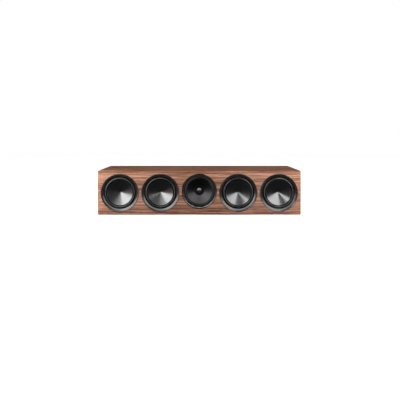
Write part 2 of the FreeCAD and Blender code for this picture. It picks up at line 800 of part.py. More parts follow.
def reflex_port():
    """Flared tube. Its mouth is at depth 0, flush with the rear panel, and it runs towards -Y."""
    bore = PORT_RADIUS
    collar = bore + PORT_COLLAR_WALL
    wall = bore + PORT_WALL
    inner_end = -PORT_LENGTH
    mouth = bore + PORT_MOUTH_FLARE
    mouth_bend = PORT_MOUTH_FLARE * QUARTER_ROUND
    inner_mouth = bore + PORT_INNER_FLARE
    inner_bend = PORT_INNER_FLARE * QUARTER_ROUND
    shoulder = -PANEL_THICKNESS - PORT_INNER_FLARE
    return turned(
        (bore, inner_end + PORT_INNER_FLARE),
        ((bore + inner_bend, inner_end + inner_bend), (inner_mouth, inner_end)),
        (inner_mouth + PORT_WALL, inner_end),
        (inner_mouth + PORT_WALL, inner_end + PORT_WALL),
        (wall, inner_end + PORT_WALL + PORT_INNER_FLARE),
        (wall, shoulder),
        (collar, -PANEL_THICKNESS),
        (collar, -PORT_FLANGE_THICKNESS),
        (port_flange_radius(), -PORT_FLANGE_THICKNESS),
        (port_flange_radius(), 0),
        (mouth, 0),
        ((bore + mouth_bend, -mouth_bend), (bore, -PORT_MOUTH_FLARE)),
    )


def terminal_form(grow, front, back):
    """Round-cornered outline of the terminal plate, grown on each side and run along Y."""
    half_width = TERMINAL_PLATE_WIDTH / 2 + grow
    half_height = TERMINAL_PLATE_HEIGHT / 2 + grow
    form = block(
        (-half_width, half_width),
        (front, back),
        (WOOFER_Z - half_height, WOOFER_Z + half_height),
    )
    return rounded_along(form, AXIS, TERMINAL_PLATE_CORNER)


def terminal_screw_places():
    """(x, z) of the screws in the corners of the terminal plate."""
    reach_x = TERMINAL_PLATE_WIDTH / 2 - TERMINAL_LEDGE / 2
    reach_z = TERMINAL_PLATE_HEIGHT / 2 - TERMINAL_LEDGE / 2
    for x in (-reach_x, reach_x):
        for z in (WOOFER_Z - reach_z, WOOFER_Z + reach_z):
            yield x, z


def terminal_screws():
    """The same screws, turned round so that their heads are flush with the plate's outer face."""
    screws = []
    for x, z in terminal_screw_places():
        screw = countersunk_screw(0, SCREW_LENGTH, 0, 0)
        screw = screw.rotated(ORIGIN, Vector(0, 0, 1), 180)
        screws.append(screw.translated(Vector(x, REAR_Y, z)))
    return screws


def terminal_plate():
    """Plate let into the rear panel, with holes for the posts and its screws."""
    plate = terminal_form(0, REAR_Y - TERMINAL_PLATE_THICKNESS, REAR_Y)
    cuts = []
    for x in post_places():
        cuts.append(rod(POST_RADIUS + POST_FIT, REAR_INNER_Y, REAR_Y + CUT_REACH, x, WOOFER_Z))
    for x, z in terminal_screw_places():
        hole = countersunk_hole(0, SCREW_LENGTH, 0, 0)
        hole = hole.rotated(ORIGIN, Vector(0, 0, 1), 180)
        cuts.append(hole.translated(Vector(x, REAR_Y, z)))
    return plate.cut(cuts)


def post_places():
    """X of the two posts, at the usual spacing of a twin plug."""
    return -POST_SPACING / 2, POST_SPACING / 2


def terminal_post():
    """Turned brass post: solder tail, flange, thread and plug bore. Depth 0 is the plate's outer face."""
    bore_end = POST_REACH - PLUG_BORE_DEPTH
    return turned(
        (0, -TERMINAL_PLATE_THICKNESS - POST_TAIL),
        (POST_RADIUS, -TERMINAL_PLATE_THICKNESS - POST_TAIL),
        (POST_RADIUS, 0),
        (POST_FLANGE_RADIUS, 0),
        (POST_FLANGE_RADIUS, POST_FLANGE_THICKNESS),
        (POST_RADIUS, POST_FLANGE_THICKNESS),
        (POST_RADIUS, POST_REACH),
        (PLUG_BORE_RADIUS, POST_REACH),
        (PLUG_BORE_RADIUS, bore_end),
        (0, bore_end),
    )


def terminal_washer():
    """Clamp washer that the nut pushes along the post."""
    front = POST_FLANGE_THICKNESS + SEAT_GAP
    return tube(POST_FLANGE_RADIUS, POST_RADIUS + POST_FIT, front, front + WASHER_THICKNESS)


def terminal_nut():
    """Thumb nut with grip flutes round its edge."""
    front = POST_FLANGE_THICKNESS + WASHER_THICKNESS + 2 * SEAT_GAP
    back = front + NUT_LENGTH
    bore = POST_RADIUS + POST_FIT
    nut = turned(
        (bore, front),
        (NUT_RADIUS - NUT_CHAMFER, front),
        (NUT_RADIUS, front + NUT_CHAMFER),
        (NUT_RADIUS, back - NUT_CHAMFER),
        (NUT_RADIUS - NUT_CHAMFER, back),
        (bore, back),
    )
    flutes = []
    for x, z in round_the_axis(NUT_GRIPS, NUT_RADIUS + NUT_GRIP_RADIUS / 2):
        flutes.append(rod(NUT_GRIP_RADIUS, front - CUT_REACH, back - 2 * NUT_CHAMFER, x, z))
    return nut.cut(flutes)


def at_post(shape, x):
    """A copy of a terminal's piece at one of the posts."""
    return shape.translated(Vector(x, REAR_Y, WOOFER_Z))


# Crossover


def crossover_places():
    """Middle of the board along Y, behind the midrange chamber, and the height of its underside."""
    front = MID_CHAMBER_BACK_Y + PARTITION_THICKNESS
    middle_y = (front + REAR_INNER_Y) / 2
    return middle_y, FLOOR_Z + SPACER_HEIGHT


def crossover_board():
    """Circuit board on four spacers."""
    middle_y, bottom = crossover_places()
    return block(
        (-BOARD_LENGTH / 2, BOARD_LENGTH / 2),
        (middle_y - BOARD_WIDTH / 2, middle_y + BOARD_WIDTH / 2),
        (bottom, bottom + BOARD_THICKNESS),
    )


def crossover_spacers():
    """Spacers between the board's corners and the cabinet floor."""
    middle_y, _ = crossover_places()
    reach_x = BOARD_LENGTH / 2 - BOARD_MARGIN
    reach_y = BOARD_WIDTH / 2 - BOARD_MARGIN
    spacers = []
    for x in (-reach_x, reach_x):
        for y in (middle_y - reach_y, middle_y + reach_y):
            spacers.append(Part.makeCylinder(SPACER_RADIUS, SPACER_HEIGHT, Vector(x, y, FLOOR_Z)))
    return spacers


def crossover_inductors():
    """Air-cored coils, lying flat along the front half of the board."""
    middle_y, bottom = crossover_places()
    top = bottom + BOARD_THICKNESS
    pitch = BOARD_LENGTH / INDUCTOR_COUNT
    coils = []
    for i in range(INDUCTOR_COUNT):
        place = Vector((i + 0.5) * pitch - BOARD_LENGTH / 2, middle_y - BOARD_WIDTH / 4, top)
        coil = Part.makeCylinder(INDUCTOR_RADIUS, INDUCTOR_HEIGHT, place)
        coils.append(coil.cut(Part.makeCylinder(INDUCTOR_BORE_RADIUS, INDUCTOR_HEIGHT, place)))
    return coils


def crossover_capacitors():
    """Film capacitors, lying side by side along the back half of the board."""
    middle_y, bottom = crossover_places()
    axis_z = bottom + BOARD_THICKNESS + CAPACITOR_RADIUS
    pitch = BOARD_LENGTH / CAPACITOR_COUNT
    start = middle_y + BOARD_WIDTH / 4 - CAPACITOR_LENGTH / 2
    cans = []
    for i in range(CAPACITOR_COUNT):
        x = (i + 0.5) * pitch - BOARD_LENGTH / 2
        cans.append(rod(CAPACITOR_RADIUS, start, start + CAPACITOR_LENGTH, x, axis_z))
    return cans


def cabinet_pieces():
    """Name and solids of each piece of the cabinet."""
    yield "front_baffle", [front_baffle()]
    yield "top_panel", [mitred_panel("z", 1, ("x", "y"))]
    yield "bottom_panel", [mitred_panel("z", -1, ("x", "y"))]
    yield "left_side_panel", [mitred_panel("x", -1, ("y", "z"))]
    yield "right_side_panel", [mitred_panel("x", 1, ("y", "z"))]
    yield "rear_panel", [rear_panel()]
    yield "mid_chamber_left_wall", [partition(-1)]
    yield "mid_chamber_right_wall", [partition(1)]
    yield "mid_chamber_back", [mid_chamber_back()]
    yield "brace_left", [brace(-1)]
    yield "brace_right", [brace(1)]
    yield "damping_felt", damping_felt()


def driver_pieces():
    """Name and solids of each piece of the five drivers. Motor pieces of one kind share a node."""
    woofer_shapes = {
        "trim_ring": trim_ring(WOOFER),
        "basket": basket(WOOFER),
        "surround": surround(WOOFER),
        "cone": woofer_cone(),
        "voice_coil": woofer_voice_coil(),
    }
    for number, x in enumerate(WOOFER_XS, start=1):
        for piece, shape in woofer_shapes.items():
            yield f"woofer_{number}_{piece}", [at_driver(shape, x, WOOFER_Z)]
    mid_shapes = {
        "trim_ring": trim_ring(MID),
        "basket": basket(MID),
        "surround": surround(MID),
        "cone": mid_cone(),
        "voice_coil": voice_coil(MID, MID.neck_depth, MID.neck_depth),
    }
    for piece, shape in mid_shapes.items():
        yield f"midrange_{piece}", [at_driver(shape, 0, MID_Z)]
    shared = {
        "driver_spiders": spider,
        "motor_top_plates": top_plate,
        "motor_magnets": magnet,
        "motor_yokes": yoke,
    }
    for name, make in shared.items():
        yield name, [at_driver(make(sizes), x, z) for sizes, x, z in driver_places()]


def tweeter_pieces():
    """Name and solid of each piece of the tweeter."""
    shapes = {
        "tweeter_collar": tweeter_collar(),
        "tweeter_dome": tweeter_dome(),
        "tweeter_voice_coil": tweeter_voice_coil(),
        "tweeter_pole_plate": tweeter_pole_plate(),
        "tweeter_magnet": tweeter_magnet(),
        "tweeter_cup": tweeter_cup(),
    }
    for name, shape in shapes.items():
        yield name, [at_driver(shape, 0, MID_Z)]


def rear_pieces():
    """Name and solids of the ports, the terminals and the crossover."""
    for side, x in (("left", -OUTER_WOOFER_X), ("right", OUTER_WOOFER_X)):
        yield f"reflex_port_{side}", [reflex_port().translated(Vector(x, REAR_Y, WOOFER_Z))]
    yield "terminal_plate", [terminal_plate()]
    yield "mounting_screws", driver_screws() + terminal_screws()
    yield "terminal_posts", [at_post(terminal_post(), x) for x in post_places()]
    for colour, x in zip(("red", "black"), post_places()):
        yield f"terminal_washer_{colour}", [at_post(terminal_washer(), x)]
        yield f"terminal_nut_{colour}", [at_post(terminal_nut(), x)]
    yield "crossover_board", [crossover_board()]
    yield "crossover_spacers", crossover_spacers()
    yield "crossover_inductors", crossover_inductors()
    yield "crossover_capacitors", crossover_capacitors()


os.makedirs("parts", exist_ok=True)
for group in (cabinet_pieces(), driver_pieces(), tweeter_pieces(), rear_pieces()):
    for name, solids in group:
        shape = solids[0] if len(solids) == 1 else Part.makeCompound(solids)
        shape.exportStep(f"parts/{name}.step")
        print(name, "solids", len(shape.Solids), "valid", shape.isValid(), "volume", round(shape.Volume, 1))
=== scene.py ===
import math

import bpy
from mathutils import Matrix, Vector


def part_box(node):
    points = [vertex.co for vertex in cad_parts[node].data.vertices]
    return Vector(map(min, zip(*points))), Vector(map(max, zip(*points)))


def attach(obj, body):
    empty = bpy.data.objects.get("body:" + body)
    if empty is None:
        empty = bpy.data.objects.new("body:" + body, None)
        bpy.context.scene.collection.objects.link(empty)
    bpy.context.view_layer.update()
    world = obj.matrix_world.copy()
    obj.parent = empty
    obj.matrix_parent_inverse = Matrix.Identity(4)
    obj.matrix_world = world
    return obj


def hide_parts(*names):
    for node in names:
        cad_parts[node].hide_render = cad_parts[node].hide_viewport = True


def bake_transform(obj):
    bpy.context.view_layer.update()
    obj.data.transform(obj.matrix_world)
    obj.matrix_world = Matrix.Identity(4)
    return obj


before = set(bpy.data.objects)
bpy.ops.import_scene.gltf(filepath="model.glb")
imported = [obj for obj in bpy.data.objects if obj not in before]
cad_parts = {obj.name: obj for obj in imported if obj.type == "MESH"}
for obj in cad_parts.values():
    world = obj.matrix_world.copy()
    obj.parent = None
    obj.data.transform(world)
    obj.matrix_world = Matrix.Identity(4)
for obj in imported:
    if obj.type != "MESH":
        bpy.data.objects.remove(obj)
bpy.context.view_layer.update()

# Cabinet panels
# Fibre board under a reddish brown wood veneer, mitred and glued at the edges, with a satin lacquer.
# The grain runs along the cabinet on the long panels, and from front to back on the two ends.
WOOD_LIGHT = (0.700, 0.350, 0.205, 1.0)
WOOD_MIDDLE = (0.378, 0.138, 0.062, 1.0)
WOOD_DARK = (0.138, 0.034, 0.010, 1.0)
PORE_SHADE = (0.40, 0.35, 0.35, 1.0)
WHITE = (1.0, 1.0, 1.0, 1.0)
LINES_SHARE = 0.7
LACQUER_ROUGHNESS = 0.33
LONG_PANELS = ("front_baffle", "top_panel", "bottom_panel", "rear_panel")
END_PANELS = ("left_side_panel", "right_side_panel")


def start_material(name):
    """A new material, with its node tree and its shader."""
    made = bpy.data.materials.new(name)
    made.use_nodes = True
    return made, made.node_tree, made.node_tree.nodes["Principled BSDF"]


def noise_over(tree, scale, detail=4.0):
    """Noise over the object's own coordinates, with its own scale along each axis."""
    place = tree.nodes.new("ShaderNodeTexCoord")
    mapping = tree.nodes.new("ShaderNodeMapping")
    mapping.inputs["Scale"].default_value = scale
    noise = tree.nodes.new("ShaderNodeTexNoise")
    noise.inputs["Scale"].default_value = 1.0
    noise.inputs["Detail"].default_value = detail
    tree.links.new(place.outputs["Object"], mapping.inputs["Vector"])
    tree.links.new(mapping.outputs["Vector"], noise.inputs["Vector"])
    return noise.outputs["Fac"]


def colour_ramp(tree, factor, stops):
    """Colours along a factor. A stop is (place, colour)."""
    ramp = tree.nodes.new("ShaderNodeValToRGB")
    elements = ramp.color_ramp.elements
    while len(elements) < len(stops):
        elements.new(0.5)
    for element, (place, colour) in zip(elements, stops):
        element.position = place
        element.color = colour
    tree.links.new(factor, ramp.inputs["Fac"])
    return ramp.outputs["Color"]


def add_bump(tree, shader, height, distance, strength=1.0):
    """Lets a height, with its depth in metres, bend the surface's shading."""
    bump = tree.nodes.new("ShaderNodeBump")
    bump.inputs["Strength"].default_value = strength
    bump.inputs["Distance"].default_value = distance
    tree.links.new(height, bump.inputs["Height"])
    tree.links.new(bump.outputs["Normal"], shader.inputs["Normal"])


def mix_colours(tree, factor, first, second, blend="MIX"):
    """Mixes two colour sockets. A factor is a socket or a number."""
    mix = tree.nodes.new("ShaderNodeMix")
    mix.data_type = "RGBA"
    mix.blend_type = blend
    if isinstance(factor, float):
        mix.inputs["Factor"].default_value = factor
    else:
        tree.links.new(factor, mix.inputs["Factor"])
    tree.links.new(first, mix.inputs["A"])
    tree.links.new(second, mix.inputs["B"])
    return mix.outputs["Result"]


def veneer(name, along):
    """Straight-grained veneer: broad bands, fine lines and dark pores, all drawn out along one axis."""
    made, tree, shader = start_material(name)

    def drawn_out(across, length, detail):
        scale = [across, across, across]
        scale["xyz".index(along)] = length
        return noise_over(tree, scale, detail)

    bands = colour_ramp(
        tree,
        drawn_out(across=70.0, length=1.3, detail=3.0),
        ((0.39, WOOD_DARK), (0.49, WOOD_MIDDLE), (0.59, WOOD_LIGHT)),
    )
    lines = colour_ramp(
        tree,
        drawn_out(across=220.0, length=4.0, detail=3.0),
        ((0.44, WOOD_DARK), (0.50, WOOD_MIDDLE), (0.56, WOOD_LIGHT)),
    )
    grain = mix_colours(tree, LINES_SHARE, bands, lines)
    pores = drawn_out(across=900.0, length=30.0, detail=2.0)
    shade = colour_ramp(tree, pores, ((0.36, PORE_SHADE), (0.50, WHITE)))
    coloured = mix_colours(tree, 1.0, grain, shade, blend="MULTIPLY")
    tree.links.new(coloured, shader.inputs["Base Color"])
    shader.inputs["Roughness"].default_value = LACQUER_ROUGHNESS
    shader.inputs["Specular IOR Level"].default_value = 0.75
    shader.inputs["Coat Weight"].default_value = 0.5
    shader.inputs["Coat Roughness"].default_value = LACQUER_ROUGHNESS
    shader.inputs["Coat IOR"].default_value = 1.6
    add_bump(tree, shader, pores, distance=0.00008, strength=0.6)
    return made


def dress(piece, material):
    """Gives a piece its one material."""
    piece.data.materials.clear()
    piece.data.materials.append(material)


def dress_nodes(names, material):
    """Gives CAD nodes that are seen as they are the same material."""
    for name in names:
        dress(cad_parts[name], material)


dress_nodes(LONG_PANELS, veneer("veneer_long", "x"))
dress_nodes(END_PANELS, veneer("veneer_ends", "y"))

# Walls, braces and felt inside the cabinet
# Raw fibre board walls and braces, glued between the panels, with needled felt sheets glued on the floor
# and ceiling of the bass chambers.
BOARD_COLOUR = (0.50, 0.38, 0.26, 1.0)
FELT_COLOUR = (0.25, 0.25, 0.26, 1.0)
CHAMBER_WALLS = ("mid_chamber_left_wall", "mid_chamber_right_wall", "mid_chamber_back")
BRACES = ("brace_left", "brace_right")


def speckled(name, colour, speck, change, roughness, bump):
    """Plain material with fine specks, speck metres across, that darken it by a share."""
    made, tree, shader = start_material(name)
    per_metre = 1.0 / speck
    specks = noise_over(tree, (per_metre, per_metre, per_metre))
    darker = tuple(part * (1.0 - change) for part in colour[:3]) + (1.0,)
    shade = colour_ramp(tree, specks, ((0.3, darker), (0.7, colour)))
    tree.links.new(shade, shader.inputs["Base Color"])
    shader.inputs["Roughness"].default_value = roughness
    add_bump(tree, shader, specks, bump)
    return made


fibre_board = speckled("fibre_board", BOARD_COLOUR, speck=0.0015, change=0.25, roughness=0.8, bump=0.0001)
felt = speckled("felt", FELT_COLOUR, speck=0.002, change=0.5, roughness=0.95, bump=0.0008)
dress_nodes(CHAMBER_WALLS + BRACES, fibre_board)
dress_nodes(["damping_felt"], felt)

# Woofer trim rings
# Die-cast metal rings with a satin black lacquer, pushed over the basket flanges and hiding their screws.
# A narrow rounded lip lies on the baffle, and a bevel falls from it to a foot at the rubber's edge. The foot
# and the bevel's inner edge are painted near black, as painted shade in the gap beside the rubber.
MM = 0.001
BAFFLE_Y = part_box("front_baffle")[0][1]
WOOFERS = range(1, 5)
WOOFER_X = (-0.398, -0.195, 0.195, 0.398)
WOOFER_Z = 0.110
RING_COLOUR = (0.140, 0.132, 0.128, 1.0)
# Painted shade for the gap between the rubber and the ring's inner edge.
RING_GAP_PAINTED_SHADE = (0.012, 0.012, 0.012, 1.0)
ROUGHNESS_SPREAD = 0.04
SPIN_STEPS = 160
MERGE_DISTANCE = 0.000001
SMOOTH_ANGLE = math.radians(35.0)


def arc(centre, radius, start, end, count):
    """Corners on an arc in the (radius, depth) plane, in mm. Angles are degrees from outwards to deeper."""
    corners = []
    for i in range(count + 1):
        angle = math.radians(start + (end - start) * i / count)
        corners.append((centre[0] + radius * math.cos(angle), centre[1] + radius * math.sin(angle)))
    return corners


def turned(name, corners):
    """Piece turned about the Y axis. A corner is (radius, depth) in mm, and the outline is closed."""
    bpy.ops.object.select_all(action="DESELECT")
    bpy.ops.mesh.primitive_plane_add(size=MM, location=(0.0, 0.0, 0.0))
    piece = bpy.context.object
    piece.name = name
    bpy.ops.object.mode_set(mode="EDIT")
    bpy.ops.mesh.select_all(action="SELECT")
    bpy.ops.mesh.merge(type="CENTER")
    here = Vector((0.0, 0.0, 0.0))
    for i, (radius, depth) in enumerate(list(corners) + [corners[0]]):
        there = Vector((radius * MM, depth * MM, 0.0))
        if i == 0:
            bpy.ops.transform.translate(value=there - here)
        else:
            bpy.ops.mesh.extrude_vertices_move(TRANSFORM_OT_translate={"value": there - here})
        here = there
    bpy.ops.mesh.select_all(action="SELECT")
    bpy.ops.mesh.spin(steps=SPIN_STEPS, angle=2 * math.pi, center=(0.0, 0.0, 0.0), axis=(0.0, 1.0, 0.0))
    bpy.ops.mesh.select_all(action="SELECT")
    bpy.ops.mesh.remove_doubles(threshold=MERGE_DISTANCE)
    bpy.ops.mesh.normals_make_consistent(inside=False)
    bpy.ops.object.mode_set(mode="OBJECT")
    bpy.ops.object.shade_smooth_by_angle(angle=SMOOTH_ANGLE)
    radii = [math.hypot(point.co.x, point.co.z) for point in piece.data.vertices]
    piece.data.attributes.new("turn_radius", "FLOAT", "POINT").data.foreach_set("value", radii)
    return piece


def placed(piece, x, z):
    """Moves a piece from the Y axis to its place in the baffle."""
    bpy.ops.object.select_all(action="DESELECT")
    bpy.context.view_layer.objects.active = piece
    piece.select_set(True)
    piece.location = (x, BAFFLE_Y, z)
    bpy.ops.object.transform_apply(location=True, rotation=False, scale=False)
    return piece


def four_of(piece, name):
    """The piece and three copies of it with meshes of their own, numbered like the woofers."""
    made = [piece]
    for _ in WOOFERS[1:]:
        twin = piece.copy()
        twin.data = piece.data.copy()
        bpy.context.scene.collection.objects.link(twin)
        made.append(twin)
    for i, one in zip(WOOFERS, made):
        one.name = f"{name}_{i}"
    return made


def turn_radius(tree):
    """The radius that is kept on a turned piece's points, in metres."""
    radius = tree.nodes.new("ShaderNodeAttribute")
    radius.attribute_name = "turn_radius"
    return radius.outputs["Fac"]


def turning_marks(tree, per_metre):
    """Fine rings round a turned piece's axis."""
    scaled = tree.nodes.new("ShaderNodeMath")
    scaled.operation = "MULTIPLY"
    scaled.inputs[1].default_value = per_metre
    tree.links.new(turn_radius(tree), scaled.inputs[0])
    marks = tree.nodes.new("ShaderNodeTexNoise")
    marks.noise_dimensions = "1D"
    marks.inputs["Scale"].default_value = 1.0
    marks.inputs["Detail"].default_value = 2.0
    tree.links.new(scaled.outputs["Value"], marks.inputs["W"])
    return marks.outputs["Fac"]


def turned_metal(name, colour, metallic, roughness, marks_per_metre):
    """Metal with turning marks that vary its roughness and bend its reflections a little."""
    made, tree, shader = start_material(name)
    marks = turning_marks(tree, marks_per_metre)
    spread = tree.nodes.new("ShaderNodeMapRange")
    spread.inputs["To Min"].default_value = roughness - ROUGHNESS_SPREAD
    spread.inputs["To Max"].default_value = roughness + ROUGHNESS_SPREAD
    tree.links.new(marks, spread.inputs["Value"])
    tree.links.new(spread.outputs["Result"], shader.inputs["Roughness"])
    shader.inputs["Base Color"].default_value = colour
    shader.inputs["Metallic"].default_value = metallic
    add_bump(tree, shader, marks, distance=0.00002, strength=0.5)
    return made


def set_by_radius(material, socket, stops):
    """Sets a socket of a turned piece's shader by radius. A stop is (radius in mm, colour)."""
    tree = material.node_tree
    inner = stops[0][0]
    outer = stops[-1][0]
    share = tree.nodes.new("ShaderNodeMapRange")
    share.inputs["From Min"].default_value = inner * MM
    share.inputs["From Max"].default_value = outer * MM
    tree.links.new(turn_radius(tree), share.inputs["Value"])
    across = [((radius - inner) / (outer - inner), colour) for radius, colour in stops]
    shade = colour_ramp(tree, share.outputs["Result"], across)
    tree.links.new(shade, tree.nodes["Principled BSDF"].inputs[socket])


ring_metal = turned_metal("ring_metal", RING_COLOUR, metallic=0.88, roughness=0.24, marks_per_metre=1800.0)
# The ring's inner edge is painted near black, as painted shade in the gap beside the rubber, and fades to the
# ring's own colour further out.
set_by_radius(ring_metal, "Base Color", ((79.6, RING_GAP_PAINTED_SHADE), (81.4, RING_COLOUR)))
ring_outline = (
    [(78.0, 6.0), (78.0, 5.5), (78.4, 5.0), (92.0, -2.7)]
    + arc((93.0, -2.0), 1.0, -120.0, -90.0, 4)
    + arc((94.0, -2.0), 1.0, -90.0, 0.0, 8)
    + [(95.0, 0.0), (91.5, 0.0), (91.5, 6.0)]
)
rings = four_of(turned("woofer_ring", ring_outline), "woofer_ring")
for i, x, ring in zip(WOOFERS, WOOFER_X, rings):
    placed(ring, x, WOOFER_Z)
    dress(ring, ring_metal)
    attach(ring, "cabinet")
    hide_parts(f"woofer_{i}_trim_ring")

# Woofer baskets
# Die-cast aluminium frames with windows between their arms and a black powder coat.
# They are screwed to the baffle behind the trim rings and carry the motors.
BASKET_COLOUR = (0.045, 0.045, 0.046, 1.0)
basket_metal = speckled(
    "basket_metal", BASKET_COLOUR, speck=0.0008, change=0.3, roughness=0.55, bump=0.00006
)
dress_nodes([f"woofer_{i}_basket" for i in WOOFERS], basket_metal)

# Woofer surrounds
# Half-roll of moulded rubber with a dull foot and a glossier crest, glued on the cone's lip and on the
# basket's flange.
RUBBER_COLOUR = (0.009, 0.009, 0.010, 1.0)
RUBBER_DARK = (0.006, 0.006, 0.007, 1.0)
GLOSSY_CREST = (0.76, 0.76, 0.76, 1.0)
DULL_FOOT = (0.09, 0.09, 0.09, 1.0)
SEAT_DEPTH = 7.0
ROLL_MIDDLE = (71.5, SEAT_DEPTH)


def rolled(surround):
    """Bakes a surround's place into its own points."""
    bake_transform(surround)


def moulded_rubber(name, darker, lighter, index):
    """Black rubber with a fine moulded grain and a refractive index."""
    made, tree, shader = start_material(name)
    grain = noise_over(tree, (900.0, 900.0, 900.0))
    shade = colour_ramp(tree, grain, ((0.3, darker), (0.7, lighter)))
    tree.links.new(shade, shader.inputs["Base Color"])
    shader.inputs["Roughness"].default_value = 0.12
    shader.inputs["IOR"].default_value = index
    add_bump(tree, shader, grain, distance=0.00003, strength=0.4)
    return made


rubber = moulded_rubber("surround_rubber", RUBBER_DARK, RUBBER_COLOUR, index=1.7)
set_by_radius(
    rubber,
    "Specular IOR Level",
    ((67.0, DULL_FOOT), (70.3, GLOSSY_CREST), (72.7, GLOSSY_CREST), (76.0, DULL_FOOT)),
)
surround_outline = (
    [(63.0, SEAT_DEPTH), (63.0, 6.3), (63.4, 6.0), (64.6, 6.0)]
    + arc(ROLL_MIDDLE, 6.5, -172.0, -8.0, 28)
    + [(78.4, 6.0), (81.0, 6.0), (81.0, SEAT_DEPTH)]
    + arc(ROLL_MIDDLE, 5.5, 0.0, -180.0, 20)
)
surrounds = four_of(turned("woofer_rubber", surround_outline), "woofer_rubber")
for i, x, surround in zip(WOOFERS, WOOFER_X, surrounds):
    placed(surround, x, WOOFER_Z)
    dress(surround, rubber)
    rolled(surround)
    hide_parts(f"woofer_{i}_surround")

# Woofer cones
# Aluminium sheet spun to a straight cone with a small round tip and no dust cap, with fine turning marks.
# A flat lip at the edge is glued under the surround, and the cone moves with its voice coil.
CONE_COLOUR = (0.28, 0.28, 0.284, 1.0)
CONE_EDGE = 63.0
CONE_SLOPE = math.atan2(18.9, 44.0)
CONE_SHEET = 0.8
LIP_EDGE = 65.5
TIP_RADIUS = 9.0
TIP_BLEND = 0.8


def on_slope(radius, offset):
    """Corner of the straight part of the cone, moved back by an offset."""
    return radius, SEAT_DEPTH + (CONE_EDGE - radius) * math.tan(CONE_SLOPE) + offset


cone_metal = turned_metal(
    "woofer_cone_metal", CONE_COLOUR, metallic=1.0, roughness=0.24, marks_per_metre=2600.0
)
tip_edge = TIP_RADIUS * math.sin(CONE_SLOPE)
tip_centre = on_slope(tip_edge, 0.0)[1] - TIP_RADIUS * math.cos(CONE_SLOPE)
tip_start = 90.0 - math.degrees(CONE_SLOPE)
cone_outline = (
    [(LIP_EDGE, SEAT_DEPTH), (63.1, SEAT_DEPTH), on_slope(62.9, 0.0), on_slope(62.3, 0.0)]
    + [on_slope(tip_edge + TIP_BLEND, 0.0)]
    + arc((0.0, tip_centre), TIP_RADIUS, tip_start, 90.0, 8)
    + arc((0.0, tip_centre + CONE_SHEET), TIP_RADIUS, 90.0, tip_start, 8)
    + [on_slope(tip_edge + TIP_BLEND, CONE_SHEET), on_slope(62.3, CONE_SHEET)]
    + [(CONE_EDGE, SEAT_DEPTH + CONE_SHEET), (LIP_EDGE, SEAT_DEPTH + CONE_SHEET)]
)
cones = four_of(turned("woofer_dish", cone_outline), "woofer_dish")
for i, x, cone in zip(WOOFERS, WOOFER_X, cones):
    placed(cone, x, WOOFER_Z)
    dress(cone, cone_metal)
    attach(cone, f"woofer_{i}_diaphragm")
    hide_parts(f"woofer_{i}_cone")

# Woofer voice coils
# Enamelled copper wire wound on the rear part of a thin dark former.
# The former is glued to the back of the cone and carries the wire in the motor's gap.
WIRE_COLOUR = (0.55, 0.26, 0.13, 1.0)
WIRE_DARK = (0.30, 0.13, 0.06, 1.0)
FORMER_COLOUR = (0.016, 0.015, 0.014, 1.0)
FORMER_DARK = (0.012, 0.011, 0.010, 1.0)
WINDING_Y = BAFFLE_Y + 0.0465


def former_and_wire(name):
    """Dark former in front of the winding's place, and copper wire behind it."""
    made, tree, shader = start_material(name)
    place = tree.nodes.new("ShaderNodeTexCoord")
    axes = tree.nodes.new("ShaderNodeSeparateXYZ")
    behind = tree.nodes.new("ShaderNodeMath")
    behind.operation = "GREATER_THAN"
    behind.inputs[1].default_value = WINDING_Y
    tree.links.new(place.outputs["Object"], axes.inputs["Vector"])
    tree.links.new(axes.outputs["Y"], behind.inputs[0])
    turns = noise_over(tree, (200.0, 4000.0, 200.0))
    wire = colour_ramp(tree, turns, ((0.3, WIRE_DARK), (0.7, WIRE_COLOUR)))
    former = colour_ramp(tree, turns, ((0.3, FORMER_DARK), (0.7, FORMER_COLOUR)))
    shade = mix_colours(tree, behind.outputs["Value"], former, wire)
    tree.links.new(shade, shader.inputs["Base Color"])
    shader.inputs["Roughness"].default_value = 0.45
    add_bump(tree, shader, turns, distance=0.0001, strength=0.5)
    return made


coil_wire = former_and_wire("coil_wire")
dress_nodes([f"woofer_{i}_voice_coil" for i in WOOFERS], coil_wire)

# Midrange driver
# The same build as the woofers, a little smaller: ring with a narrow bright bevel, narrow surround and a
# slightly curved cone with a dark satin coat. The cone is open at its neck, where the tweeter stands.
MID_Z = 0.118
SHELF_COLOUR = (0.050, 0.050, 0.050, 1.0)
BEVEL_COLOUR = (0.46, 0.45, 0.44, 1.0)
LIP_COLOUR = (0.035, 0.033, 0.032, 1.0)
MID_RUBBER_COLOUR = (0.013, 0.013, 0.014, 1.0)
MID_RUBBER_DARK = (0.010, 0.010, 0.011, 1.0)
MID_ROLL_MIDDLE = (69.75, SEAT_DEPTH)
MID_CONE_COLOUR = (0.073, 0.073, 0.075, 1.0)
MID_CONE_EDGE = 63.5
MID_CONE_NECK = 25.5
MID_CONE_DEPTH = 24.0
MID_CONE_FLARE = 0.6
MID_CONE_STEPS = 24
MID_LIP_EDGE = 66.0


def set_value(material, socket, value):
    """Sets a constant on a material's shader."""
    material.node_tree.nodes["Principled BSDF"].inputs[socket].default_value = value


def mid_flare(offset):
    """Corners of the midrange cone's curve from its edge to its neck, moved back by an offset."""
    corners = []
    for i in range(MID_CONE_STEPS + 1):
        share = i / MID_CONE_STEPS
        radius = MID_CONE_EDGE + (MID_CONE_NECK - MID_CONE_EDGE) * share
        bulge = MID_CONE_FLARE * 4.0 * share * (1.0 - share)
        corners.append((radius, SEAT_DEPTH + MID_CONE_DEPTH * share - bulge + offset))
    return corners


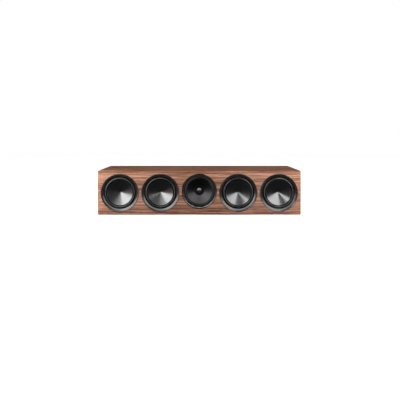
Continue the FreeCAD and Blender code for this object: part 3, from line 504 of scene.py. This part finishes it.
mid_ring_metal = turned_metal(
    "mid_ring_metal", RING_COLOUR, metallic=0.88, roughness=0.22, marks_per_metre=1800.0
)
set_by_radius(
    mid_ring_metal,
    "Base Color",
    ((79.5, SHELF_COLOUR), (80.1, BEVEL_COLOUR), (81.8, BEVEL_COLOUR), (82.3, LIP_COLOUR)),
)
mid_ring_outline = (
    [(74.0, 6.0), (74.0, 5.4), (74.2, 5.2), (80.3, 5.2), (80.5, 5.0), (80.5, 0.1), (80.8, -0.33)]
    + [(85.0, -2.7)]
    + arc((86.0, -2.0), 1.0, -120.0, 0.0, 10)
    + [(87.0, 0.0), (83.5, 0.0), (83.5, 6.0)]
)
mid_ring = placed(turned("midrange_ring", mid_ring_outline), 0.0, MID_Z)
dress(mid_ring, mid_ring_metal)
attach(mid_ring, "cabinet")
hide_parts("midrange_trim_ring")
dress_nodes(["midrange_basket"], basket_metal)

mid_rubber = moulded_rubber("mid_surround_rubber", MID_RUBBER_DARK, MID_RUBBER_COLOUR, index=1.5)
set_value(mid_rubber, "Specular IOR Level", 0.66)
mid_surround_outline = (
    [(63.5, SEAT_DEPTH), (63.5, 6.3), (63.9, 6.0), (65.4, 6.0)]
    + arc(MID_ROLL_MIDDLE, 4.25, -168.0, -12.0, 22)
    + [(74.1, 6.0), (77.0, 6.0), (77.0, SEAT_DEPTH)]
    + arc(MID_ROLL_MIDDLE, 3.25, 0.0, -180.0, 16)
)
mid_surround = placed(turned("midrange_rubber", mid_surround_outline), 0.0, MID_Z)
dress(mid_surround, mid_rubber)
rolled(mid_surround)
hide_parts("midrange_surround")

mid_cone_metal = turned_metal(
    "mid_cone_metal", MID_CONE_COLOUR, metallic=1.0, roughness=0.38, marks_per_metre=2600.0
)
mid_cone_outline = (
    [(MID_LIP_EDGE, SEAT_DEPTH)]
    + mid_flare(0.0)
    + mid_flare(CONE_SHEET)[::-1]
    + [(MID_LIP_EDGE, SEAT_DEPTH + CONE_SHEET)]
)
mid_cone = placed(turned("midrange_dish", mid_cone_outline), 0.0, MID_Z)
dress(mid_cone, mid_cone_metal)
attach(mid_cone, "midrange_diaphragm")
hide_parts("midrange_cone")
dress_nodes(["midrange_voice_coil"], coil_wire)

# Spiders and motors
# Cloth spiders pressed into waves, and behind them a plated steel plate, a ferrite ring and a forged yoke,
# glued and staked on the baskets.
SPIDER_COLOUR = (0.45, 0.30, 0.10, 1.0)
STEEL_COLOUR = (0.45, 0.45, 0.46, 1.0)
FERRITE_COLOUR = (0.060, 0.060, 0.064, 1.0)
spider_cloth = speckled("spider_cloth", SPIDER_COLOUR, speck=0.0009, change=0.3, roughness=0.85, bump=0.0002)
ferrite = speckled("ferrite", FERRITE_COLOUR, speck=0.001, change=0.3, roughness=0.6, bump=0.00005)
motor_steel = speckled("motor_steel", STEEL_COLOUR, speck=0.003, change=0.1, roughness=0.35, bump=0.00001)
set_value(motor_steel, "Metallic", 1.0)
dress_nodes(["driver_spiders"], spider_cloth)
dress_nodes(["motor_magnets"], ferrite)
dress_nodes(["motor_top_plates", "motor_yokes"], motor_steel)

# Tweeter
# A dome and its roll, formed from one sheet, behind a short moulded horn that is pushed over the motor's pot.
# It stands on the midrange's pole, so it doesn't move with the midrange cone.
DOME_COLOUR = (0.27, 0.27, 0.275, 1.0)
HORN_COLOUR = (0.008, 0.008, 0.008, 1.0)
PLASTIC_COLOUR = (0.020, 0.020, 0.021, 1.0)
DOME_EDGE = 12.5
DOME_RISE = 4.8
DOME_SEAT = 38.0
DOME_SHEET = 0.5
DOME_ROLL = 14.5
horn_plastic = speckled("horn_plastic", HORN_COLOUR, speck=0.0007, change=0.3, roughness=0.7, bump=0.00004)
set_value(horn_plastic, "Specular IOR Level", 0.15)
collar_outline = [
    (23.6, 31.0), (23.9, 31.0), (24.2, 31.3), (24.2, 57.5), (20.4, 57.5), (20.4, DOME_SEAT),
    (16.5, DOME_SEAT), (17.3, 36.6), (18.3, 35.3), (19.5, 34.0), (20.9, 32.8), (22.3, 31.8),
]
collar = placed(turned("tweeter_horn", collar_outline), 0.0, MID_Z)
dress(collar, horn_plastic)
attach(collar, "cabinet")
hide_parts("tweeter_collar")

dome_sphere = (DOME_EDGE**2 + DOME_RISE**2) / (2 * DOME_RISE)
dome_reach = math.degrees(math.asin(DOME_EDGE / dome_sphere))
dome_centre = DOME_SEAT - DOME_RISE + dome_sphere
dome_back = DOME_SEAT + DOME_SHEET
dome_outline = (
    arc((0.0, dome_centre), dome_sphere, -90.0, -90.0 + dome_reach, 16)
    + arc((DOME_ROLL, DOME_SEAT), 2.0, -172.0, -8.0, 12)
    + [(16.5, DOME_SEAT), (18.5, DOME_SEAT), (18.5, dome_back)]
    + arc((DOME_ROLL, dome_back), 1.5, 0.0, -180.0, 8)
    + arc((0.0, dome_centre + DOME_SHEET), dome_sphere, -90.0 + dome_reach, -90.0, 16)
)
dome_metal, dome_tree, dome_shader = start_material("dome_metal")
set_by_radius(dome_metal, "Base Color", ((12.2, DOME_COLOUR), (12.7, PLASTIC_COLOUR)))
dome_shader.inputs["Metallic"].default_value = 1.0
dome_shader.inputs["Roughness"].default_value = 0.30
dome_marks = turning_marks(dome_tree, per_metre=3000.0)
add_bump(dome_tree, dome_shader, dome_marks, distance=0.00001, strength=0.3)
dome = placed(turned("tweeter_cap", dome_outline), 0.0, MID_Z)
dress(dome, dome_metal)
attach(dome, "cabinet")
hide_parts("tweeter_dome")
dress_nodes(["tweeter_voice_coil"], coil_wire)
dress_nodes(["tweeter_pole_plate", "tweeter_magnet", "tweeter_cup"], motor_steel)

# Reflex ports and terminals
# Moulded black ports and terminal plate let into the back, plated brass posts with washers, and moulded thumb
# nuts, one red and one black. Blackened countersunk screws hold the plate and the drivers.
BRASS_COLOUR = (0.80, 0.58, 0.25, 1.0)
SCREW_COLOUR = (0.06, 0.06, 0.06, 1.0)
NUT_COLOURS = {"red": (0.42, 0.022, 0.020, 1.0), "black": (0.018, 0.018, 0.019, 1.0)}
BACK_MOULDINGS = ("reflex_port_left", "reflex_port_right", "terminal_plate")
BRASS_PIECES = ("terminal_posts", "terminal_washer_red", "terminal_washer_black")
black_plastic = speckled(
    "black_plastic", PLASTIC_COLOUR, speck=0.0007, change=0.3, roughness=0.5, bump=0.00004
)
post_brass = speckled("post_brass", BRASS_COLOUR, speck=0.002, change=0.1, roughness=0.22, bump=0.00001)
set_value(post_brass, "Metallic", 0.6)
screw_steel = speckled("screw_steel", SCREW_COLOUR, speck=0.001, change=0.2, roughness=0.4, bump=0.00002)
set_value(screw_steel, "Metallic", 0.7)
dress_nodes(BACK_MOULDINGS, black_plastic)
dress_nodes(BRASS_PIECES, post_brass)
dress_nodes(["mounting_screws"], screw_steel)
for colour, shade in NUT_COLOURS.items():
    nut_plastic = speckled(f"nut_{colour}", shade, speck=0.003, change=0.1, roughness=0.3, bump=0.00001)
    dress_nodes([f"terminal_nut_{colour}"], nut_plastic)

# Crossover
# Circuit board with wound coils and film capacitors soldered on.
# It stands on moulded spacers behind the midrange chamber.
RESIST_COLOUR = (0.05, 0.16, 0.08, 1.0)
SLEEVE_COLOUR = (0.35, 0.05, 0.05, 1.0)
circuit_board = speckled(
    "circuit_board", RESIST_COLOUR, speck=0.004, change=0.15, roughness=0.4, bump=0.00002
)
capacitor_film = speckled(
    "capacitor_film", SLEEVE_COLOUR, speck=0.004, change=0.1, roughness=0.3, bump=0.00002
)
dress_nodes(["crossover_spacers"], black_plastic)
dress_nodes(["crossover_board"], circuit_board)
dress_nodes(["crossover_inductors"], coil_wire)
dress_nodes(["crossover_capacitors"], capacitor_film)

# Floor and light
# Pale studio floor, with soft lights at both front ends, at the sides and behind.
# Upright light panels and a dark room round them are seen only in reflections.
FLOOR_COLOUR = (0.60, 0.60, 0.60, 1.0)
FLOOR_GLOW = 0.90
FLOOR_SIZE = 30.0
FLOOR_Z = -0.0005
BLACK = (0.0, 0.0, 0.0, 1.0)
ROOM_GREY = 0.025
ROOM_SIZE = 14.0
WORLD_FILL = 0.16
WORLD_SEEN = 1.0
# Each panel's name, start of its foot, end of its foot, top and strength
PANELS = (
    ("left_near_panel", (-0.72, -1.08, 0.30), (-0.90, -1.08, 0.30), 2.5, 2.75),
    ("left_panel", (-0.90, -1.08, 0.08), (-1.70, -1.08, 0.08), 2.5, 2.75),
    ("left_far_panel", (-1.70, -1.08, 0.32), (-2.30, -1.08, 0.32), 2.5, 2.75),
    ("left_middle_panel", (-0.31, -1.09, 0.52), (-0.72, -1.09, 0.52), 1.05, 0.62),
    ("middle_panel", (0.50, -1.09, 0.52), (-0.31, -1.09, 0.54), 1.05, 0.11),
    ("high_panel", (0.51, -1.09, 1.05), (-0.72, -1.09, 1.05), 2.5, 1.7),
    ("right_near_panel", (0.64, -1.08, 0.22), (0.51, -1.08, 0.22), 2.3, 2.15),
    ("right_high_panel", (0.92, -1.08, 0.48), (0.64, -1.08, 0.48), 2.3, 2.05),
    ("right_panel", (1.50, -1.08, 0.27), (0.92, -1.08, 0.27), 2.3, 2.05),
    ("right_far_panel", (2.30, -1.08, 0.40), (1.50, -1.08, 0.40), 2.3, 2.05),
    ("far_strip", (-0.18, -2.20, 0.70), (-1.12, -2.20, 0.70), 1.12, 3.8),
    ("left_low_panel", (-0.65, -5.20, -1.20), (-1.85, -5.20, -1.20), 0.05, 1.5),
    ("right_low_panel", (1.85, -5.20, -1.20), (0.65, -5.20, -1.20), 0.05, 2.0),
    ("left_glow", (-1.10, -1.08, -0.45), (-1.90, -1.08, -0.45), 0.11, 0.2),
    ("rear_left_panel", (-2.20, 1.90, -0.2), (-1.50, 2.20, -0.2), 0.65, 1.0),
    ("rear_right_panel", (1.50, 2.20, -0.2), (2.20, 1.90, -0.2), 0.65, 1.0),
)
# Each soft light's name, place, aim, width, height and power
SOFT_LIGHTS = (
    ("left_light", (-0.76, -0.62, 0.52), (-0.5, -0.18, 0.1), 0.5, 0.25, 6.0),
    ("right_light", (0.78, -0.62, 0.54), (0.5, -0.18, 0.1), 0.5, 0.25, 6.1),
    ("rear_light", (0.3, 2.6, 2.6), (0.0, 0.2, 0.1), 2.6, 1.8, 32.0),
    ("back_light", (0.0, 2.4, 0.7), (0.0, 0.2, 0.1), 2.0, 0.6, 14.0),
    ("left_side_light", (-2.2, 0.5, 0.7), (-0.5, 0.0, 0.1), 1.0, 0.6, 10.0),
    ("right_side_light", (2.2, 0.5, 0.7), (0.5, 0.0, 0.1), 1.0, 0.6, 10.0),
)


def glowing(name, strength):
    """Material that gives off an even white light."""
    made, _, shader = start_material(name)
    shader.inputs["Base Color"].default_value = BLACK
    shader.inputs["Specular IOR Level"].default_value = 0.0
    shader.inputs["Emission Color"].default_value = WHITE
    shader.inputs["Emission Strength"].default_value = strength
    return made


def only_reflected(thing):
    """Hides a piece of the studio from everything but reflections."""
    thing.visible_camera = False
    thing.visible_diffuse = False
    thing.visible_transmission = False
    thing.visible_volume_scatter = False
    thing.visible_shadow = False


def panel(name, start_foot, end_foot, top, strength):
    """Upright light panel, seen only in reflections. It is bright on its right from start to end."""
    bpy.ops.object.select_all(action="DESELECT")
    bpy.ops.mesh.primitive_plane_add(size=2.0, location=(0.0, 0.0, 0.0))
    made = bpy.context.object
    made.name = name
    for point in made.data.vertices:
        foot = start_foot if point.co.x < 0.0 else end_foot
        height = foot[2] if point.co.y < 0.0 else top
        point.co = (foot[0], foot[1], height)
    light = glowing(name + "_light", strength)
    tree = light.node_tree
    side = tree.nodes.new("ShaderNodeNewGeometry")
    front_only = tree.nodes.new("ShaderNodeMapRange")
    front_only.inputs["To Min"].default_value = strength
    front_only.inputs["To Max"].default_value = 0.0
    tree.links.new(side.outputs["Backfacing"], front_only.inputs["Value"])
    tree.links.new(front_only.outputs["Result"], tree.nodes["Principled BSDF"].inputs["Emission Strength"])
    made.data.materials.append(light)
    only_reflected(made)


def soft_light(name, place, aim, width, height, power):
    """Area light that aims at a point and lights only matt colours."""
    lamp = bpy.data.lights.new(name, "AREA")
    lamp.shape = "RECTANGLE"
    lamp.size = width
    lamp.size_y = height
    lamp.energy = power
    thing = bpy.data.objects.new(name, lamp)
    bpy.context.scene.collection.objects.link(thing)
    thing.location = place
    thing.rotation_euler = (Vector(aim) - Vector(place)).to_track_quat("-Z", "Y").to_euler()
    thing.visible_glossy = False
    thing.visible_camera = False


bpy.ops.object.select_all(action="DESELECT")
bpy.ops.mesh.primitive_plane_add(size=FLOOR_SIZE, location=(0.0, 0.0, FLOOR_Z))
floor = bpy.context.object
floor.name = "studio_floor"
floor.visible_glossy = False
floor_paint, floor_tree, floor_shader = start_material("floor_paint")
floor_shader.inputs["Base Color"].default_value = FLOOR_COLOUR
floor_shader.inputs["Roughness"].default_value = 0.9
floor_shader.inputs["Emission Color"].default_value = WHITE
floor_path = floor_tree.nodes.new("ShaderNodeLightPath")
floor_glow = floor_tree.nodes.new("ShaderNodeMath")
floor_glow.operation = "MULTIPLY"
floor_glow.inputs[1].default_value = FLOOR_GLOW
floor_tree.links.new(floor_path.outputs["Is Camera Ray"], floor_glow.inputs[0])
floor_tree.links.new(floor_glow.outputs["Value"], floor_shader.inputs["Emission Strength"])
floor.data.materials.append(floor_paint)

for row in PANELS:
    panel(*row)

bpy.ops.object.select_all(action="DESELECT")
bpy.ops.mesh.primitive_cube_add(size=ROOM_SIZE, location=(0.0, 0.0, 0.0))
room = bpy.context.object
room.name = "dark_room"
room.data.materials.append(glowing("dark_room_walls", ROOM_GREY))
only_reflected(room)

for row in SOFT_LIGHTS:
    soft_light(*row)

world = bpy.data.worlds.new("studio_world")
bpy.context.scene.world = world
world.use_nodes = True
world_nodes = world.node_tree.nodes
world_links = world.node_tree.links
background = world_nodes["Background"]
background.inputs["Color"].default_value = WHITE
light_path = world_nodes.new("ShaderNodeLightPath")
seen = world_nodes.new("ShaderNodeMath")
seen.operation = "MAXIMUM"
sky_strength = world_nodes.new("ShaderNodeMapRange")
sky_strength.inputs["To Min"].default_value = WORLD_FILL
sky_strength.inputs["To Max"].default_value = WORLD_SEEN
world_links.new(light_path.outputs["Is Camera Ray"], seen.inputs[0])
world_links.new(light_path.outputs["Is Glossy Ray"], seen.inputs[1])
world_links.new(seen.outputs["Value"], sky_strength.inputs["Value"])
world_links.new(sky_strength.outputs["Result"], background.inputs["Strength"])

# Camera
# Level and straight in front of the cabinet, a little above it.
# The lens is shifted down, so the cabinet's upright edges stay upright in the picture.
camera_data = bpy.data.cameras.new("camera")
camera_data.lens = 41.04
camera_data.sensor_width = 36.0
camera_data.shift_x = 0.0045
camera_data.shift_y = -0.1704
camera = bpy.data.objects.new("camera", camera_data)
bpy.context.scene.collection.objects.link(camera)
camera.location = (-0.0055, -2.4615, 0.415)
camera.rotation_euler = (math.radians(90.0), 0.0, 0.0)
bpy.context.scene.camera = camera
bpy.context.scene.view_settings.view_transform = "Standard"
